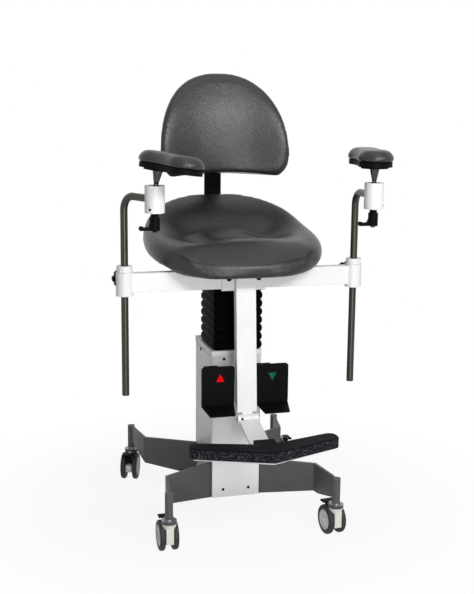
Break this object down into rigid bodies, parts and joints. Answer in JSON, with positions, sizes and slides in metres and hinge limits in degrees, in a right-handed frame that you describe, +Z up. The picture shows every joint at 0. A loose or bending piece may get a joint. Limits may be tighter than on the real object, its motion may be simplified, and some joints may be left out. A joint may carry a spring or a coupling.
{
  "type": "surgeon chair",
  "caption": "Surgeon's chair with a dished seat, curved backrest, ball-jointed arm pads, pedal lift, folding footrest and braked casters.",
  "frame": {"origin": "on the floor, midway between the four caster swivel axes", "axes": "+Z up; the sitter faces -Y; +X towards the sitter's left hand, which is the right of the picture"},
  "size_m": [0.668, 0.7375, 1.1438],
  "materials": {
    "white_paint": "gloss powder coat",
    "dark_paint": "satin powder coat",
    "black_paint": "satin powder coat",
    "bright_steel": "polished",
    "grey_metal": "satin",
    "chrome_stem": "polished",
    "grey_vinyl": "soft sheen, fine grain",
    "black_plastic": "fine texture",
    "black_rubber": "matt",
    "cream_plastic": "smooth",
    "grey_tyre": "matt"
  },
  "bodies": {
    "base": {"legs": "dark_paint", "leg_tubes": "dark_paint", "base_core": "dark_paint", "front_cover": "white_paint", "rear_cover": "white_paint", "top_cap": "white_paint", "cover_screws": "black_paint", "lift_outer_guide": "bright_steel", "lift_actuator": "grey_metal", "pedal_hinges": "black_paint", "pedal_switches": "black_plastic", "bellows": "black_rubber"},
    "carrier": {"lift_inner_guide": "bright_steel", "lift_piston": "bright_steel", "carrier_plate": "black_paint", "arm_beam": "white_paint", "beam_bracket": "white_paint", "bracket_bolts": "black_paint", "seat_bracket": "black_paint", "seat_pan": "black_paint", "seat_cushion": "grey_vinyl", "footrest_bar": "white_paint", "footrest_pin": "bright_steel", "back_bar": "black_paint"},
    "back": {"back_clamp": "black_paint", "back_plate": "black_paint", "back_cushion": "grey_vinyl"},
    "back_knob": {"back_knob": "black_plastic"},
    "footrest": {"footrest_arm": "white_paint", "footrest_pad": "black_rubber"},
    "pedal_up": {"pedal_up": "black_plastic"},
    "pedal_down": {"pedal_down": "black_plastic"},
    "left_swivel": {"left_swivel_bush": "white_paint"},
    "left_arm": {"left_arm_tube": "bright_steel", "left_ball_socket": "white_paint"},
    "left_ball": {"left_ball_stem": "chrome_stem"},
    "left_pad": {"left_pad_plate": "black_plastic", "left_arm_pad": "grey_vinyl"},
    "left_ball_lever": {"left_ball_lever": "black_plastic"},
    "left_collar_knob": {"left_collar_knob": "black_plastic"},
    "right_swivel": {"right_swivel_bush": "white_paint"},
    "right_arm": {"right_arm_tube": "bright_steel", "right_ball_socket": "white_paint"},
    "right_ball": {"right_ball_stem": "chrome_stem"},
    "right_pad": {"right_pad_plate": "black_plastic", "right_arm_pad": "grey_vinyl"},
    "right_ball_lever": {"right_ball_lever": "black_plastic"},
    "right_collar_knob": {"right_collar_knob": "black_plastic"},
    "caster_front_left": {"caster_front_left_housing": "cream_plastic"},
    "wheels_front_left": {"caster_front_left_wheels": "grey_tyre"},
    "brake_front_left": {"caster_front_left_brake": "black_plastic"},
    "caster_front_right": {"caster_front_right_housing": "cream_plastic"},
    "wheels_front_right": {"caster_front_right_wheels": "grey_tyre"},
    "brake_front_right": {"caster_front_right_brake": "black_plastic"},
    "caster_rear_left": {"caster_rear_left_housing": "cream_plastic"},
    "wheels_rear_left": {"caster_rear_left_wheels": "grey_tyre"},
    "brake_rear_left": {"caster_rear_left_brake": "black_plastic"},
    "caster_rear_right": {"caster_rear_right_housing": "cream_plastic"},
    "wheels_rear_right": {"caster_rear_right_wheels": "grey_tyre"},
    "brake_rear_right": {"caster_rear_right_brake": "black_plastic"}
  },
  "joints": [
    {"name": "lift", "type": "slide", "parent": "base", "child": "carrier", "axis": [0, 0, 1], "range_m": [-0.12, 0], "deforming": ["bellows"]},
    {"name": "footrest_fold", "type": "hinge", "parent": "carrier", "child": "footrest", "pos_m": [0, -0.2, 0.301], "axis": [-1, 0, 0], "range_deg": [0, 70]},
    {"name": "back_height", "type": "slide", "parent": "carrier", "child": "back", "axis": [0, 0, 1], "range_m": [-0.03, 0.02]},
    {"name": "back_knob_turn", "type": "hinge", "parent": "back", "child": "back_knob", "pos_m": [0, 0.2, 0.965], "axis": [0, 1, 0], "range_deg": [0, 180]},
    {"name": "pedal_up_press", "type": "hinge", "parent": "base", "child": "pedal_up", "pos_m": [-0.07, -0.118, 0.395], "axis": [1, 0, 0], "range_deg": [0, 6], "stiffness_Nm_per_rad": 20, "springref_deg": -5.73},
    {"name": "pedal_down_press", "type": "hinge", "parent": "base", "child": "pedal_down", "pos_m": [0.07, -0.118, 0.395], "axis": [1, 0, 0], "range_deg": [0, 6], "stiffness_Nm_per_rad": 20, "springref_deg": -5.73},
    {"name": "left_arm_swivel", "type": "hinge", "parent": "carrier", "child": "left_swivel", "pos_m": [-0.294, -0.134, 0.65], "axis": [0, 0, 1], "range_deg": [-72, 13]},
    {"name": "left_arm_height", "type": "slide", "parent": "left_swivel", "child": "left_arm", "axis": [0, 0, 1], "range_m": [-0.1, 0.15]},
    {"name": "left_ball_tilt", "type": "hinge", "parent": "left_arm", "child": "left_ball", "pos_m": [-0.23952, -0.24092, 0.868], "axis": [0.891, 0.454, 0], "range_deg": [-18, 12]},
    {"name": "left_pad_spin", "type": "hinge", "parent": "left_ball", "child": "left_pad", "pos_m": [-0.23952, -0.24092, 0.868], "axis": [0.1361, 0.0013, 0.9907], "continuous": true},
    {"name": "left_ball_lever_turn", "type": "hinge", "parent": "left_arm", "child": "left_ball_lever", "pos_m": [-0.23952, -0.24092, 0.8], "axis": [0, 0, 1], "range_deg": [0, 60]},
    {"name": "left_collar_knob_turn", "type": "hinge", "parent": "carrier", "child": "left_collar_knob", "pos_m": [-0.294, -0.1, 0.646], "axis": [0, 1, 0], "range_deg": [0, 180]},
    {"name": "right_arm_swivel", "type": "hinge", "parent": "carrier", "child": "right_swivel", "pos_m": [0.294, -0.134, 0.65], "axis": [0, 0, 1], "range_deg": [-40, 45]},
    {"name": "right_arm_height", "type": "slide", "parent": "right_swivel", "child": "right_arm", "axis": [0, 0, 1], "range_m": [-0.1, 0.15]},
    {"name": "right_ball_tilt", "type": "hinge", "parent": "right_arm", "child": "right_ball", "pos_m": [0.294, -0.254, 0.868], "axis": [1, 0, 0], "range_deg": [-15, 15]},
    {"name": "right_pad_spin", "type": "hinge", "parent": "right_ball", "child": "right_pad", "pos_m": [0.294, -0.254, 0.868], "axis": [0, 0, 1], "continuous": true},
    {"name": "right_ball_lever_turn", "type": "hinge", "parent": "right_arm", "child": "right_ball_lever", "pos_m": [0.294, -0.254, 0.8], "axis": [0, 0, 1], "range_deg": [0, 60]},
    {"name": "right_collar_knob_turn", "type": "hinge", "parent": "carrier", "child": "right_collar_knob", "pos_m": [0.294, -0.1, 0.646], "axis": [0, 1, 0], "range_deg": [0, 180]},
    {"name": "caster_front_left_swivel", "type": "hinge", "parent": "base", "child": "caster_front_left", "pos_m": [-0.214, -0.27, 0.1], "axis": [0, 0, 1], "continuous": true},
    {"name": "wheels_front_left_roll", "type": "hinge", "parent": "caster_front_left", "child": "wheels_front_left", "pos_m": [-0.214, -0.25, 0.0375], "axis": [1, 0, 0], "continuous": true},
    {"name": "brake_front_left_press", "type": "hinge", "parent": "caster_front_left", "child": "brake_front_left", "pos_m": [-0.214, -0.244, 0.075], "axis": [-1, 0, 0], "range_deg": [0, 12], "stiffness_Nm_per_rad": 2, "springref_deg": -5.73},
    {"name": "caster_front_right_swivel", "type": "hinge", "parent": "base", "child": "caster_front_right", "pos_m": [0.214, -0.27, 0.1], "axis": [0, 0, 1], "continuous": true},
    {"name": "wheels_front_right_roll", "type": "hinge", "parent": "caster_front_right", "child": "wheels_front_right", "pos_m": [0.21156, -0.25015, 0.0375], "axis": [0.9925, 0.1219, 0], "continuous": true},
    {"name": "brake_front_right_press", "type": "hinge", "parent": "caster_front_right", "child": "brake_front_right", "pos_m": [0.21083, -0.24419, 0.075], "axis": [-0.9925, -0.1219, 0], "range_deg": [0, 12], "stiffness_Nm_per_rad": 2, "springref_deg": -5.73},
    {"name": "caster_rear_left_swivel", "type": "hinge", "parent": "base", "child": "caster_rear_left", "pos_m": [-0.214, 0.27, 0.1], "axis": [0, 0, 1], "continuous": true},
    {"name": "wheels_rear_left_roll", "type": "hinge", "parent": "caster_rear_left", "child": "wheels_rear_left", "pos_m": [-0.22084, 0.25121, 0.0375], "axis": [-0.9397, 0.342, 0], "continuous": true},
    {"name": "brake_rear_left_press", "type": "hinge", "parent": "caster_rear_left", "child": "brake_rear_left", "pos_m": [-0.22289, 0.24557, 0.075], "axis": [0.9397, -0.342, 0], "range_deg": [0, 12], "stiffness_Nm_per_rad": 2, "springref_deg": -5.73},
    {"name": "caster_rear_right_swivel", "type": "hinge", "parent": "base", "child": "caster_rear_right", "pos_m": [0.214, 0.27, 0.1], "axis": [0, 0, 1], "continuous": true},
    {"name": "wheels_rear_right_roll", "type": "hinge", "parent": "caster_rear_right", "child": "wheels_rear_right", "pos_m": [0.23392, 0.27174, 0.0375], "axis": [0.0872, -0.9962, 0], "continuous": true},
    {"name": "brake_rear_right_press", "type": "hinge", "parent": "caster_rear_right", "child": "brake_rear_right", "pos_m": [0.2399, 0.27227, 0.075], "axis": [-0.0872, 0.9962, 0], "range_deg": [0, 12], "stiffness_Nm_per_rad": 2, "springref_deg": -5.73}
  ]
}
